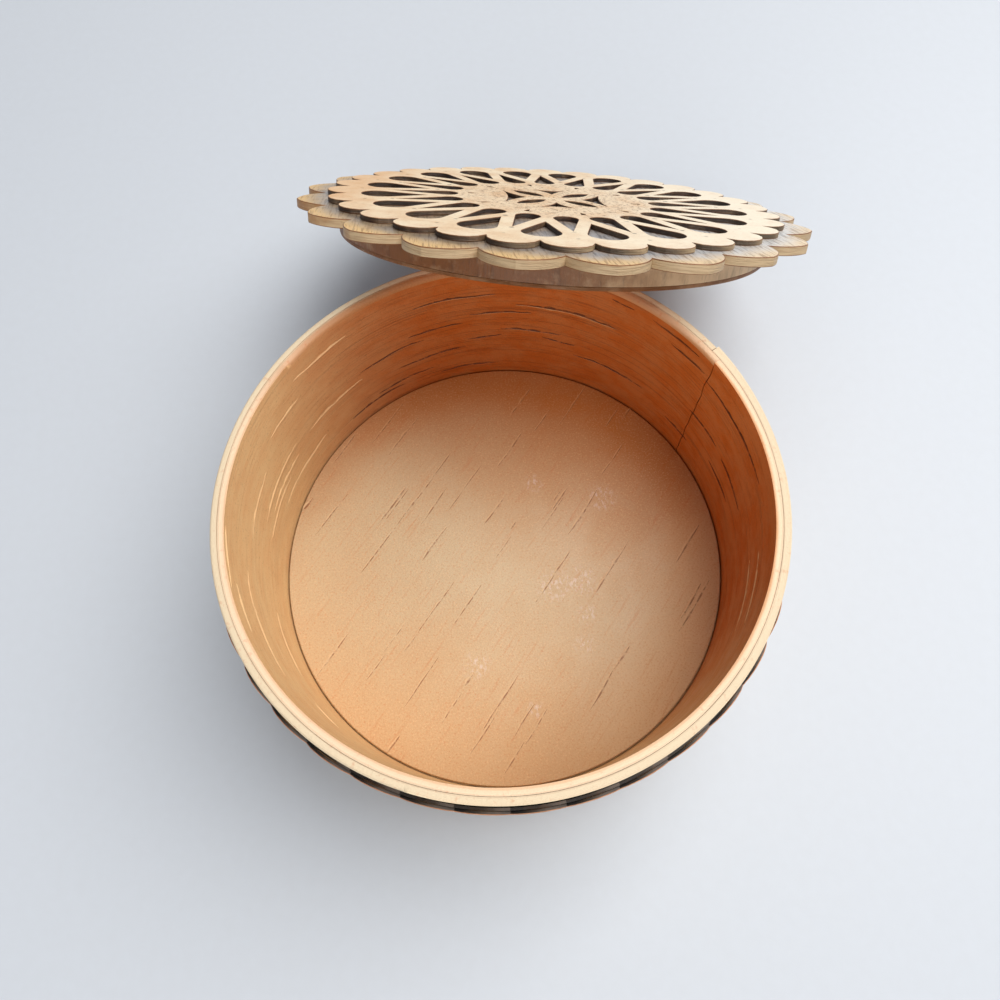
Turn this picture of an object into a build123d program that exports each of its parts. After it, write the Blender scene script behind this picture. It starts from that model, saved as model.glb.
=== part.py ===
from build123d import *

import os
from math import asin, cos, hypot, radians, sin, sqrt, tan

# Round birch bark box, open, with its carved lid lying against the back of the rim.
# The box stands on z = 0 with its axis on Z and its front towards -Y. Sizes are in mm
# and degrees. Angles round the box are measured from +X towards +Y.

# Box wall: an inner lining and an outer wrap, both of bark, ending in one sanded rim
box_height = 47.0
wall_radius = 50.4
wrap_thickness = 1.3
lining_thickness = 1.25
glue_line = 0.05
rim_chamfer = 0.4

# Where the two bark strips of the wall close
lining_seam_angle = 27.7
lining_seam_gap = 0.3
wrap_lap_angle = 30.5
wrap_lap_sweep = 18.0
wrap_lap_step = 0.25

# Floor: a wooden board between two discs of bark
floor_height = 9.2
floor_bark_thickness = 0.8
floor_clearance = 0.12

# Carved band round the wall, over a dark backing strip
band_base = 4.0
band_top_gap = 5.0
band_thickness = 0.6
backing_thickness = 0.45
backing_margin = 0.6
band_lobes = 36
band_lobe_depth = 2.4
band_phase = 7.3

# Openings of the carved band: wedges whose wide ends lie a border away from the band's
# edges, each with its point between the wide ends of its neighbours
band_border = 4.8
band_point_inset = 8.0
band_rib = 3.4

# Lid: a scalloped plate, a rosette on top and a plug that fits the bore below
plate_tip_radius = 56.4
plate_lobe_depth = 4.8
plate_lobes = 21
plate_lobe_curve = 9.6
plate_thickness = 1.75
plate_phase = 1.5

rosette_margin = 2.5
rosette_lobe_depth = 2.5
rosette_lobes = 30
rosette_thickness = 1.0
rosette_phase = 96.3

plug_clearance = 0.85
plug_height = 4.2
hoop_thickness = 1.0
plug_bark_thickness = 0.8

# Openings of the rosette: an outer ring with round ends at the border and an inner ring
# between them with round ends towards the centre
spokes = 20
rosette_border = 4.5
outer_length = 13.9
outer_web = 4.7
inner_end = 21.3
inner_length = 14.2
inner_web = 2.5

# Flower in the middle of the rosette: four leaves, and between them three-pointed
# wedges, wide at the sides and narrow at the two ends
petals = 4
flower_phase = 53.5
petal_root = 2.9
petal_tip = 12.2
petal_width = 3.2
wedge_bow = 0.4
wide_wedge_root = 6.2
wide_wedge_reach = 12.8
wide_wedge_half_angle = 32.0
wide_wedge_dip = 10.2
narrow_wedge_root = 5.6
narrow_wedge_reach = 12.0
narrow_wedge_half_angle = 17.0
narrow_wedge_dip = 10.4

# How the lid lies: one edge on the table, its underside against the rim
lid_tilt = 38.5
lid_bearing = 12.2
lid_side_shift = -2.5
rest_gap = 0.3

# How far a cutter runs past what it cuts
cut_past = 1.0

# Worked out from the sizes above
lining_radius = wall_radius - wrap_thickness - glue_line
bore_radius = lining_radius - lining_thickness
board_thickness = floor_height - 2 * floor_bark_thickness
floor_radius = bore_radius - floor_clearance
backing_inner = wall_radius + wrap_lap_step + glue_line
backing_outer = backing_inner + backing_thickness
band_inner = backing_outer + glue_line
band_outer = band_inner + band_thickness
band_top = box_height - band_top_gap
band_height = band_top - band_base
band_opening_half = band_outer * sin(radians(180 / band_lobes)) - band_rib / 2
plate_cusp_radius = plate_tip_radius - plate_lobe_depth
rosette_tip_radius = plate_cusp_radius - rosette_margin
rosette_cusp_radius = rosette_tip_radius - rosette_lobe_depth
outer_end = rosette_cusp_radius - rosette_border
half_spoke = sin(radians(180 / spokes))
outer_round = (outer_end * half_spoke - outer_web / 2) / (1 + half_spoke)
inner_round = (inner_end * half_spoke - inner_web / 2) / (1 - half_spoke)
plug_radius = bore_radius - plug_clearance
core_radius = plug_radius - hoop_thickness - glue_line
plug_depth = plug_height + plug_bark_thickness


def lid_frame():
    """Plane on top of the scalloped plate, its X level and its Y up the slope."""
    tilt, bearing = radians(lid_tilt), radians(lid_bearing)
    level = Vector(-cos(bearing), sin(bearing), 0)
    normal = Vector(sin(tilt) * sin(bearing), sin(tilt) * cos(bearing), cos(tilt))
    rim_contact = max(
        (wall_radius - rim_chamfer) * sin(tilt) + box_height * cos(tilt),
        wall_radius * sin(tilt) + (box_height - rim_chamfer) * cos(tilt),
    )
    along_normal = rim_contact + rest_gap + plug_depth + plate_thickness
    centre_height = plate_thickness * cos(tilt) + lowest_tip_reach() * sin(tilt)
    behind = (along_normal - centre_height * cos(tilt)) / sin(tilt)
    centre = Vector(behind * sin(bearing), behind * cos(bearing), centre_height)
    return Plane(origin=centre + level * lid_side_shift, x_dir=level, z_dir=normal)


def lowest_tip_reach():
    """How far the scalloped plate reaches down its own slope."""
    tips = [plate_phase + 360 * lobe / plate_lobes for lobe in range(plate_lobes)]
    return max(-plate_tip_radius * sin(radians(tip)) for tip in tips)


def polar(radius, angle):
    return (radius * cos(radians(angle)), radius * sin(radians(angle)))


def teardrop(apex, end, round_radius):
    """Opening along X with a point at apex and a round end of round_radius at end."""
    outward = 1 if end > apex else -1
    centre = end - outward * round_radius
    half_angle = asin(round_radius / abs(centre - apex))
    touch_x = centre - outward * round_radius * sin(half_angle)
    touch_y = round_radius * cos(half_angle)
    with BuildSketch() as opening:
        with BuildLine():
            Line((apex, 0), (touch_x, touch_y))
            ThreePointArc((touch_x, touch_y), (end, 0), (touch_x, -touch_y))
            Line((touch_x, -touch_y), (apex, 0))
        make_face()
    return opening.sketch


def almond(root, tip, width):
    """Leaf along X between root and tip, made of two equal arcs."""
    middle = (root + tip) / 2
    with BuildSketch() as leaf:
        with BuildLine():
            ThreePointArc((root, 0), (middle, width / 2), (tip, 0))
            ThreePointArc((tip, 0), (middle, -width / 2), (root, 0))
        make_face()
    return leaf.sketch


def petal_wedge(root, reach, half_angle, dip):
    """Opening along X with points at root and at reach to both sides, its sides bowed in."""
    side_x, side_y = polar(reach, half_angle)
    run_x = side_x - root
    run = hypot(run_x, side_y)
    bow_x = (root + side_x) / 2 + wedge_bow * side_y / run
    bow_y = side_y / 2 - wedge_bow * run_x / run
    with BuildSketch() as wedge:
        with BuildLine():
            ThreePointArc((root, 0), (bow_x, bow_y), (side_x, side_y))
            ThreePointArc((side_x, side_y), (dip, 0), (side_x, -side_y))
            ThreePointArc((side_x, -side_y), (bow_x, -bow_y), (root, 0))
        make_face()
    return wedge.sketch


def plate_lobe():
    """Sector of the scalloped plate along X, with a slightly pointed lobe."""
    cusp = polar(plate_cusp_radius, 180 / plate_lobes)
    far_cusp = polar(plate_cusp_radius, -180 / plate_lobes)
    tip = (plate_tip_radius, 0)
    with BuildSketch() as lobe:
        with BuildLine():
            Line((0, 0), far_cusp)
            RadiusArc(far_cusp, tip, -plate_lobe_curve)
            RadiusArc(tip, cusp, -plate_lobe_curve)
            Line(cusp, (0, 0))
        make_face()
    return lobe.sketch


def edge_notch(width, depth):
    """Gap between two round lobes of an edge, its cusp at the origin and its mouth up."""
    half = width / 2
    lobe_radius = (half**2 + depth**2) / (2 * depth)
    lean = half / 2
    side_y = depth - lobe_radius + sqrt(lobe_radius**2 - lean**2)
    with BuildSketch() as notch:
        with BuildLine():
            ThreePointArc((0, 0), (half - lean, side_y), (half, depth))
            Polyline((half, depth), (half, 2 * depth), (-half, 2 * depth), (-half, depth))
            ThreePointArc((-half, depth), (lean - half, side_y), (0, 0))
        make_face()
    return notch.sketch


def band_cutter(outline):
    """Cutter through the carved band at angle 0 from an outline with its height on Y."""
    with BuildPart() as cutter:
        with BuildSketch(Plane.YZ.offset(band_inner - cut_past)):
            add(outline)
        extrude(amount=band_thickness + 2 * cut_past)
    return cutter.part


def band_wedge(point, end):
    """Upright opening of the carved band with a point and a wide end at those heights."""
    with BuildSketch() as wedge:
        with BuildLine():
            Polyline((0, point), (band_opening_half, end), (-band_opening_half, end), close=True)
        make_face()
    return wedge.sketch


# ---- Box ----
with BuildPart() as wall_lining:
    with BuildSketch(Plane.XZ) as lining_section:
        with Locations((bore_radius, 0)):
            Rectangle(lining_thickness, box_height, align=(Align.MIN, Align.MIN))
        chamfer(lining_section.vertices().group_by(Axis.Y)[-1].sort_by(Axis.X)[0], rim_chamfer)
    revolve(axis=Axis.Z)
    with BuildSketch():
        with PolarLocations(bore_radius + lining_thickness / 2, 1, start_angle=lining_seam_angle):
            Rectangle(2 * lining_thickness, lining_seam_gap)
    extrude(amount=box_height, mode=Mode.SUBTRACT)
wall_lining.part.label = "wall_lining"

with BuildPart() as wall_wrap:
    with BuildSketch(Plane.XZ) as wrap_section:
        with Locations((lining_radius + glue_line, 0)):
            Rectangle(wrap_thickness, box_height, align=(Align.MIN, Align.MIN))
        chamfer(wrap_section.vertices().group_by(Axis.Y)[-1].sort_by(Axis.X)[-1], rim_chamfer)
    revolve(axis=Axis.Z)
    with BuildSketch():
        lap_start = wrap_lap_angle - wrap_lap_sweep
        lap_middle = wrap_lap_angle - wrap_lap_sweep / 2
        lap_radius = wall_radius + wrap_lap_step
        root_radius = wall_radius - wrap_thickness / 2
        with BuildLine():
            ThreePointArc(
                polar(wall_radius, lap_start),
                polar(wall_radius + wrap_lap_step / 2, lap_middle),
                polar(lap_radius, wrap_lap_angle),
            )
            Line(polar(lap_radius, wrap_lap_angle), polar(root_radius, wrap_lap_angle))
            ThreePointArc(
                polar(root_radius, wrap_lap_angle),
                polar(root_radius, lap_middle),
                polar(root_radius, lap_start),
            )
            Line(polar(root_radius, lap_start), polar(wall_radius, lap_start))
        make_face()
    extrude(amount=box_height - rim_chamfer)
wall_wrap.part.label = "wall_wrap"

with BuildPart() as base_facing:
    Cylinder(floor_radius, floor_bark_thickness, align=(Align.CENTER, Align.CENTER, Align.MIN))
base_facing.part.label = "base_facing"

with BuildPart(Plane.XY.offset(floor_bark_thickness)) as floor_board:
    Cylinder(floor_radius, board_thickness, align=(Align.CENTER, Align.CENTER, Align.MIN))
floor_board.part.label = "floor_board"

with BuildPart(Plane.XY.offset(floor_height - floor_bark_thickness)) as floor_lining:
    Cylinder(floor_radius, floor_bark_thickness, align=(Align.CENTER, Align.CENTER, Align.MIN))
floor_lining.part.label = "floor_lining"

# The backing shows through the band's openings and in the gaps between its lobes
with BuildPart() as band_backing:
    with BuildSketch(Plane.XY.offset(band_base + backing_margin)):
        Circle(backing_outer)
        Circle(backing_inner, mode=Mode.SUBTRACT)
    extrude(amount=band_height - 2 * backing_margin)
band_backing.part.label = "band_backing"

with BuildSketch() as lobe_gap:
    with Locations((0, band_top - band_lobe_depth)):
        add(edge_notch(2 * band_outer * tan(radians(180 / band_lobes)), band_lobe_depth))
lobe_cutter = band_cutter(lobe_gap.sketch)
low_cutter = band_cutter(band_wedge(band_top - band_point_inset, band_base + band_border))
high_cutter = band_cutter(band_wedge(band_base + band_point_inset, band_top - band_border))

with BuildPart() as carved_band:
    with BuildSketch(Plane.XY.offset(band_base)):
        Circle(band_outer)
        Circle(band_inner, mode=Mode.SUBTRACT)
    extrude(amount=band_height)
    with PolarLocations(0, band_lobes, start_angle=band_phase):
        add(lobe_cutter, mode=Mode.SUBTRACT)
        add(low_cutter, mode=Mode.SUBTRACT)
    with PolarLocations(0, band_lobes, start_angle=band_phase + 180 / band_lobes):
        add(high_cutter, mode=Mode.SUBTRACT)
carved_band.part.label = "carved_band"

# ---- Lid, built on the plane of its plate's upper face ----
lid_plane = lid_frame()

with BuildPart() as lid_plate:
    with BuildSketch(lid_plane.offset(-plate_thickness)):
        with PolarLocations(0, plate_lobes, start_angle=plate_phase):
            add(plate_lobe())
    extrude(amount=plate_thickness)
lid_plate.part.label = "lid_plate"

with BuildPart() as lid_rosette:
    with BuildSketch(lid_plane):
        half_chord = rosette_cusp_radius * sin(radians(180 / rosette_lobes))
        rise = rosette_tip_radius - rosette_cusp_radius * cos(radians(180 / rosette_lobes))
        lobe_radius = (half_chord**2 + rise**2) / (2 * rise)
        lobe_centre = rosette_tip_radius - lobe_radius
        Circle((lobe_centre + rosette_cusp_radius) / 2)
        with PolarLocations(lobe_centre, rosette_lobes, start_angle=rosette_phase):
            Circle(lobe_radius)
        with PolarLocations(0, spokes):
            add(teardrop(outer_end - outer_length, outer_end, outer_round), mode=Mode.SUBTRACT)
        with PolarLocations(0, spokes, start_angle=180 / spokes):
            add(teardrop(inner_end + inner_length, inner_end, inner_round), mode=Mode.SUBTRACT)
        with PolarLocations(0, petals, start_angle=flower_phase):
            add(almond(petal_root, petal_tip, petal_width), mode=Mode.SUBTRACT)
        wide_wedge = petal_wedge(
            wide_wedge_root, wide_wedge_reach, wide_wedge_half_angle, wide_wedge_dip
        )
        narrow_wedge = petal_wedge(
            narrow_wedge_root, narrow_wedge_reach, narrow_wedge_half_angle, narrow_wedge_dip
        )
        with PolarLocations(0, petals // 2, start_angle=flower_phase - 180 / petals):
            add(wide_wedge, mode=Mode.SUBTRACT)
        with PolarLocations(0, petals // 2, start_angle=flower_phase + 180 / petals):
            add(narrow_wedge, mode=Mode.SUBTRACT)
    extrude(amount=rosette_thickness)
lid_rosette.part.label = "lid_rosette"

with BuildPart() as plug_core:
    with BuildSketch(lid_plane.offset(-plate_thickness)):
        Circle(core_radius)
    extrude(amount=-plug_height)
plug_core.part.label = "plug_core"

with BuildPart() as plug_hoop:
    with BuildSketch(lid_plane.offset(-plate_thickness)):
        Circle(plug_radius)
        Circle(plug_radius - hoop_thickness, mode=Mode.SUBTRACT)
    extrude(amount=-plug_height)
plug_hoop.part.label = "plug_hoop"

with BuildPart() as plug_lining:
    with BuildSketch(lid_plane.offset(-plate_thickness - plug_height)):
        Circle(plug_radius)
    extrude(amount=-plug_bark_thickness)
plug_lining.part.label = "plug_lining"

os.makedirs("parts", exist_ok=True)
for piece in (
    wall_lining,
    wall_wrap,
    base_facing,
    floor_board,
    floor_lining,
    band_backing,
    carved_band,
    lid_plate,
    lid_rosette,
    plug_core,
    plug_hoop,
    plug_lining,
):
    export_step(piece.part, f"parts/{piece.part.label}.step")
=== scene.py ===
import math
import random

import bmesh
import bpy
from mathutils import Matrix, Vector, noise


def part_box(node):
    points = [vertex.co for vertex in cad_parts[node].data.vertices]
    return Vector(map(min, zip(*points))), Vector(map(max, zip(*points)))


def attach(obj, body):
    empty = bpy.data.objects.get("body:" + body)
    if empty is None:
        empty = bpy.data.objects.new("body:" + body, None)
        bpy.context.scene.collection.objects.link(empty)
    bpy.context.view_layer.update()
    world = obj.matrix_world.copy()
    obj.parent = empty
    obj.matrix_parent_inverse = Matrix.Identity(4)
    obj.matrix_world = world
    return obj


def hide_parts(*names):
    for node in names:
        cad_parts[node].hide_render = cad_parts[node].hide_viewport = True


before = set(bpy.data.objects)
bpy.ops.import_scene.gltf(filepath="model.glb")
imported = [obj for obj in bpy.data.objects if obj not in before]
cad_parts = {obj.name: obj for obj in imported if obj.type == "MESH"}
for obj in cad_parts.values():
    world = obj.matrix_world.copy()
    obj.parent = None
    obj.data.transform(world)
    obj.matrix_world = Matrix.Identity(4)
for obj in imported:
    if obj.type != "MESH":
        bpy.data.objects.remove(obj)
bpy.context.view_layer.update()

bl_info = {
    "name": "Birch bark box",
    "version": (1, 0, 0),
    "blender": (4, 5, 0),
    "location": "View3D > Sidebar > Bark box",
    "description": "Round birch bark box with a carved lid leaning on its rim",
    "category": "Object",
}

MM = 0.001
SAME = 1e-7  # Places closer than this in metres count as one
WELD = 1e-6  # Points closer than this in metres are joined

# Read from the frame in metres: the wall, the floor and the carved band
WALL_RADIUS = -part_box("wall_wrap")[0].x
LINING_RADIUS = -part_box("wall_lining")[0].x
BOX_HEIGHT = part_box("wall_wrap")[1].z
FLOOR_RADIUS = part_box("floor_lining")[1].x
FLOOR_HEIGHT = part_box("floor_lining")[1].z
FLOOR_BARK = FLOOR_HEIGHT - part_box("floor_lining")[0].z
BAND_RADIUS = -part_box("carved_band")[0].x
BAND_BASE, BAND_TOP = (corner.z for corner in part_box("carved_band"))

# Direction of the bark's grain on the floor and, in the lid's plane, on the plate
FLOOR_GRAIN = math.radians(51.5)
PLATE_GRAIN = math.radians(103)


def from_screen(red, green, blue):
    """Colour for a shader from the values that a screen shows, 0 to 255."""
    values = [channel / 255 for channel in (red, green, blue)]
    return tuple(v / 12.92 if v <= 0.04045 else ((v + 0.055) / 1.055) ** 2.4 for v in values)


# ---- Sizes and colours that a user would change ----
def length(name, description, value):
    return bpy.props.FloatProperty(
        name=name, description=description, default=value * MM, unit="LENGTH", precision=5
    )


def angle(name, description, degrees):
    return bpy.props.FloatProperty(
        name=name, description=description, default=math.radians(degrees), subtype="ANGLE"
    )


def count(name, description, value):
    return bpy.props.IntProperty(name=name, description=description, default=value, min=3)


def colour(name, description, red, green, blue):
    return bpy.props.FloatVectorProperty(
        name=name,
        description=description,
        default=from_screen(red, green, blue),
        subtype="COLOR",
        size=3,
        min=0,
        max=1,
    )


class BarkBoxSizes(bpy.types.PropertyGroup):
    lining_thickness: length("Lining", "Thickness of the inner bark strip", 1.25)
    wrap_thickness: length("Wrap", "Thickness of the outer bark sheet", 1.3)
    rim_round: length("Rim rounding", "Radius of the rim's outer edge", 0.5)
    bore_round: length("Bore rounding", "Radius of the rim's inner edge", 0.95)
    seam_angle: angle("Seam", "Where the inner strip closes", 27.7)
    seam_gap: length("Seam gap", "Width of the gap at the seam", 0.25)
    lap_angle: angle("Lap", "Where the outer sheet ends over itself", 30.5)
    lap_sweep: angle("Lap sweep", "How far round the lap tapers out", 18)
    lap_step: length("Lap step", "How far the lap's end stands out", 0.25)
    floor_edge: length("Floor edge", "Gap that shows round the floor", 0.22)


class BarkBandSizes(bpy.types.PropertyGroup):
    thickness: length("Band", "Thickness of the carved band", 0.6)
    backing_thickness: length("Backing", "Thickness of the dark strip behind the band", 0.45)
    glue_line: length("Glue line", "Gap that the glue fills", 0.05)
    lobes: count("Lobes", "Number of lobes along the band's upper edge", 36)
    lobe_depth: length("Lobe depth", "Depth between the band's lobes", 2.4)
    phase: angle("Band turn", "Where one of the band's cusps stands", 7.3)
    border: length("Band border", "Bark between the openings and the band's edges", 4.8)
    point_inset: length("Point inset", "From a band edge to the points of the openings", 8.0)
    rib: length("Band rib", "Bark between two openings of a row", 3.4)
    edge_round: length("Band edge", "Rounding of the band's cut edges", 0.14)


class BarkLidSizes(bpy.types.PropertyGroup):
    plate_tip: length("Plate", "Radius to the plate's lobe tips", 56.4)
    plate_lobe_depth: length("Plate lobe", "Depth between the plate's lobes", 5.4)
    plate_lobe_curve: length("Plate lobe curve", "Radius of a lobe's two arcs", 9.6)
    plate_lobes: count("Plate lobes", "Number of lobes round the plate", 21)
    plate_thickness: length("Plate thickness", "Thickness of the scalloped plate", 1.75)
    plate_trim: length("Plate trim", "How much narrower the hand-cut plate came out", 3.0)
    plate_shift: length("Plate shift", "How far the plate stands out on the near side", 1.5)
    plate_phase: angle("Plate turn", "Where the first lobe points", 1.5)
    rosette_tip: length("Rosette", "Radius to the rosette's lobe tips", 49.3)
    rosette_lobe_depth: length("Rosette lobe", "Depth between the rosette's lobes", 4.0)
    rosette_lobes: count("Rosette lobes", "Number of lobes round the rosette", 30)
    rosette_thickness: length("Rosette thickness", "Thickness of the openwork rosette", 1.0)
    rosette_phase: angle("Rosette turn", "Where the first rosette lobe points", 96.3)
    rosette_border: length("Border", "Bark between the lobes and the openings", 3.2)
    spokes: count("Spokes", "Number of openings in each ring", 20)
    outer_length: length("Outer opening", "Length of the outer openings", 13.9)
    outer_web: length("Outer web", "Bark between two outer openings", 4.7)
    inner_end: length("Inner end", "Radius to the inner openings' round ends", 21.3)
    inner_length: length("Inner opening", "Length of the inner openings", 14.2)
    inner_web: length("Inner web", "Bark between two inner openings", 2.5)
    edge_round: length("Cut edge", "Rounding of the cut edges", 0.1)
    plug_radius: length("Plug", "Radius of the plug", 46.95)
    plug_height: length("Plug height", "Height of the plug's hoop", 4.2)
    plug_bark: length("Plug bark", "Thickness of the bark under the plug", 0.8)
    hoop_thickness: length("Hoop", "Thickness of the strip round the plug", 1.0)


class BarkColours(bpy.types.PropertyGroup):
    lining_light: colour("Lining", "Inner wall where it is palest", 229, 195, 143)
    # The bark's deeper tone, and also the painted shade and warm bounce light of the inner wall at
    # the back and right
    lining_deep: colour("Lining, deep", "Inner wall where it is deepest", 197, 97, 20)
    # On the inner wall near the rim in front, this is a painted light
    gold: colour("Golden bark", "Bark near the rim in front and at the bore's edge", 212, 148, 78)
    rim_inner: colour("Rim, inner", "Sanded edge of the inner strip", 240, 207, 173)
    rim_outer: colour("Rim, outer", "Sanded edge of the outer sheet", 224, 204, 172)
    floor_light: colour("Floor", "Bark disc on the floor", 207, 184, 148)
    # A little of this mottles the floor; most of it is the floor's painted shade, and the rim's
    # painted shade at the back
    floor_deep: colour("Floor, deep", "Mottling of the floor", 193, 120, 56)
    wrap_light: colour("Wrap", "Outer bark", 222, 184, 134)
    wrap_deep: colour("Wrap, deep", "Mottling of the outer bark", 190, 140, 92)
    face_light: colour("Carved bark", "Face of the rosette and band", 236, 216, 184)
    face_deep: colour("Carved bark, deep", "Mottling of the carved bark", 222, 188, 148)
    face_pale: colour("Carved bark, pale", "Paler bark on the lid's right", 246, 236, 216)
    rosette_middle: colour("Rosette middle", "Rougher middle of the rosette", 222, 180, 134)
    plate_light: colour("Plate", "Lobe tips of the plate", 222, 181, 114)
    plate_soot: colour("Plate, stained", "Plate beside the rosette", 138, 122, 104)
    # Painted sheen: a greyer, bluer tint for reflected light on the plate's right and on the
    # band's burnt edges
    plate_sheen_grey: colour("Plate, grey", "Greyer and paler stain on the lid's right", 178, 187, 202)
    # This also paints the shade at the start of each rosette lobe's cut side
    burnt: colour("Burnt edge", "Cut edges of the carving", 46, 33, 26)
    # This also paints the light on the rosette's outer cut sides on the lid's right
    plate_edge: colour("Plate edge", "Cut edge of the plate", 190, 165, 128)
    soot: colour("Soot", "Where the bark is burnt black", 28, 22, 18)
    plate_rust: colour("Plate edge, rusty", "Cut edge of the plate on the left", 168, 118, 68)
    fringe: colour("Band edge", "Cut edge of the carved band", 200, 136, 94)
    dark_bark: colour("Dark bark", "Strip round the plug and behind the band", 124, 76, 34)
    # Pale worn bark, also a painted light on the hoop's lit side and in the band's painted sheen
    worn_and_lit_bark: colour("Dark bark, worn", "Where the dark bark is worn pale", 204, 172, 134)
    # Dark bark marks; on a pore's dark side partly a painted shadow, and on the inner wall also
    # painted shade at the back
    pore: colour("Pore", "Dark side of a pore", 88, 40, 14)
    # Partly a painted shadow on the floor pores' dark side
    floor_pore: colour("Floor pore", "Dark side of a pore of the floor", 140, 88, 48)
    # Pale specks, a pore's pale side partly painted light, and on the floor a painted light at the
    # front right
    pore_ridge: colour("Pore ridge", "Pale side of a pore", 236, 196, 146)
    scuff: colour("Scuff", "Whitish scuffs on the floor", 236, 222, 214)
    board: colour("Board", "Wooden floor and plug", 206, 172, 124)
    table: colour("Table", "Plain floor of the stage", 196, 201, 208)


def sizes():
    return bpy.context.scene.bark_box_sizes


def band():
    return bpy.context.scene.bark_band_sizes


def lid():
    return bpy.context.scene.bark_lid_sizes


def paints():
    return bpy.context.scene.bark_colours


# ---- Materials ----
def arithmetic(operation, swapped=False):
    """A method that adds a Math node, with its values swapped for the right-hand forms."""

    def method(self, other):
        return self.math(operation, *((other, self) if swapped else (self, other)))

    return method


class Wire:
    """A value in a material. Arithmetic on it adds Math nodes and gives another Wire."""

    __add__, __radd__ = arithmetic("ADD"), arithmetic("ADD", True)
    __sub__, __rsub__ = arithmetic("SUBTRACT"), arithmetic("SUBTRACT", True)
    __mul__, __rmul__ = arithmetic("MULTIPLY"), arithmetic("MULTIPLY", True)
    __truediv__, __pow__ = arithmetic("DIVIDE"), arithmetic("POWER")
    most = arithmetic("MAXIMUM")

    def __init__(self, paint, socket):
        self.paint = paint
        self.socket = socket

    def math(self, operation, *values):
        return self.paint.node("ShaderNodeMath", values, operation=operation)

    def __abs__(self):
        return self.math("ABSOLUTE", self)

    def root(self):
        return self.math("SQRT", self)

    def step(self, low, high):
        """0 below low, 1 above high and smooth between."""
        fed = {"Value": self, "From Min": low, "From Max": high}
        return self.paint.node("ShaderNodeMapRange", fed, interpolation_type="SMOOTHSTEP")


class Paint:
    """A material whose nodes are written as expressions, with places in millimetres."""

    def __init__(self, name):
        self.material = bpy.data.materials.new(name)
        self.material.use_nodes = True
        self.tree = self.material.node_tree
        self.tree.nodes.clear()
        self.tint = None

    def node(self, kind, inputs=(), output=0, **settings):
        """Adds a node, sets it, feeds its inputs with values or Wires and gives an output."""
        node = self.tree.nodes.new(kind)
        for key, value in settings.items():
            setattr(node, key, value)
        named = inputs.items() if isinstance(inputs, dict) else enumerate(inputs)
        for key, value in named:
            if isinstance(value, Wire):
                self.tree.links.new(value.socket, node.inputs[key])
            else:
                node.inputs[key].default_value = value
        return Wire(self, node.outputs[output] if node.outputs else None)

    def seen_from(self, vector, **axes):
        """The vector in other axes, given by their Location, Rotation and Scale."""
        return self.node("ShaderNodeMapping", {"Vector": vector, **axes}, vector_type="TEXTURE")

    def place(self, plane=None):
        """The point on the piece in millimetres, in the frame's axes or in a plane's."""
        spot = self.node("ShaderNodeTexCoord", output=3)
        origin = plane.translation if plane else (0, 0, 0)
        turn = plane.to_euler() if plane else (0, 0, 0)
        return self.seen_from(spot, Location=origin, Rotation=turn, Scale=(MM, MM, MM))

    def split(self, vector):
        node = self.node("ShaderNodeSeparateXYZ", (vector,)).socket.node
        return [Wire(self, output) for output in node.outputs]

    def join(self, x, y, z):
        return self.node("ShaderNodeCombineXYZ", (x, y, z))

    def stretch(self, vector, x, y, z):
        return self.node("ShaderNodeVectorMath", (vector, (x, y, z)), operation="MULTIPLY")

    def noise(self, vector, scale, detail=3.0, roughness=0.5):
        """Cloudy noise from 0 to 1 around a half, with features 1 / scale mm across."""
        fed = {"Vector": vector, "Scale": scale, "Detail": detail, "Roughness": roughness}
        return self.node("ShaderNodeTexNoise", fed)

    def mix(self, share, first, second):
        """Blend of two colours, each a Wire or red, green and blue."""
        pair = [c if isinstance(c, Wire) else (*c, 1) for c in (first, second)]
        return self.node(
            "ShaderNodeMix", {0: share, 6: pair[0], 7: pair[1]}, 2, data_type="RGBA"
        )

    def over(self, share, colour):
        """Lays a colour over the tint so far, by a share from 0 to 1."""
        self.tint = self.mix(share, self.tint, colour)

    def polar(self, vector):
        """Radius in mm and angle in degrees about Z."""
        x, y, _ = self.split(vector)
        return (x * x + y * y).root(), x.math("ARCTAN2", y, x) * (180 / math.pi)

    def lobes_round(self, vector, number, first):
        """Lobes counted about Z from the angle first, so that one lobe's length is 1."""
        _, turn = self.polar(vector)
        return (turn - math.degrees(first)) * (number / 360)

    def finish(self, roughness, height, depth, coat=0.0, shine=0.5):
        """Ends the material: height is the relief, 0 to 1, and depth its size in mm."""
        fed = {"Base Color": self.tint, "Roughness": roughness, "Specular IOR Level": shine}
        if coat:
            fed |= {"Coat Weight": coat, "Coat Roughness": 0.35}
        fed["Normal"] = self.node("ShaderNodeBump", {"Height": height, "Distance": depth * MM})
        shader = self.node("ShaderNodeBsdfPrincipled", fed)
        self.node("ShaderNodeOutputMaterial", (shader,))
        return self.material


def start_paint(name, plane=None):
    """A new material, the colours and the point on the piece in millimetres."""
    paint = Paint(name)
    return paint, paints(), paint.place(plane)


def tone_and_painted_shade_at(x, y):
    """How far the wall and the rim deepen to a rusty tint, 0 to 1, growing towards the back and
    right: partly the bark's deeper tone and partly painted shade with warm bounce light, where the
    lid shades the back.
    """
    return (x * 0.014 + y * 0.013 + 0.46).step(0, 1)


def shift_pore(paint, spot, mark, share, low, high):
    """Shifts the tint unevenly towards a pore's colour, if mark names one."""
    if mark:
        grit = paint.noise(spot, 0.8, 3, 0.6).step(low, high)
        paint.over(grit * share, getattr(paints(), mark))


def bark_relief(paint, spot, across):
    """Fine bark relief: grain drawn out along the bark and a dusting of tiny pores."""
    grain = paint.noise(across, 1.0, 4, 0.6)
    dust = paint.noise(spot, 3.5, 3, 0.6)
    return grain * 0.6 + dust * 0.4


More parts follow.
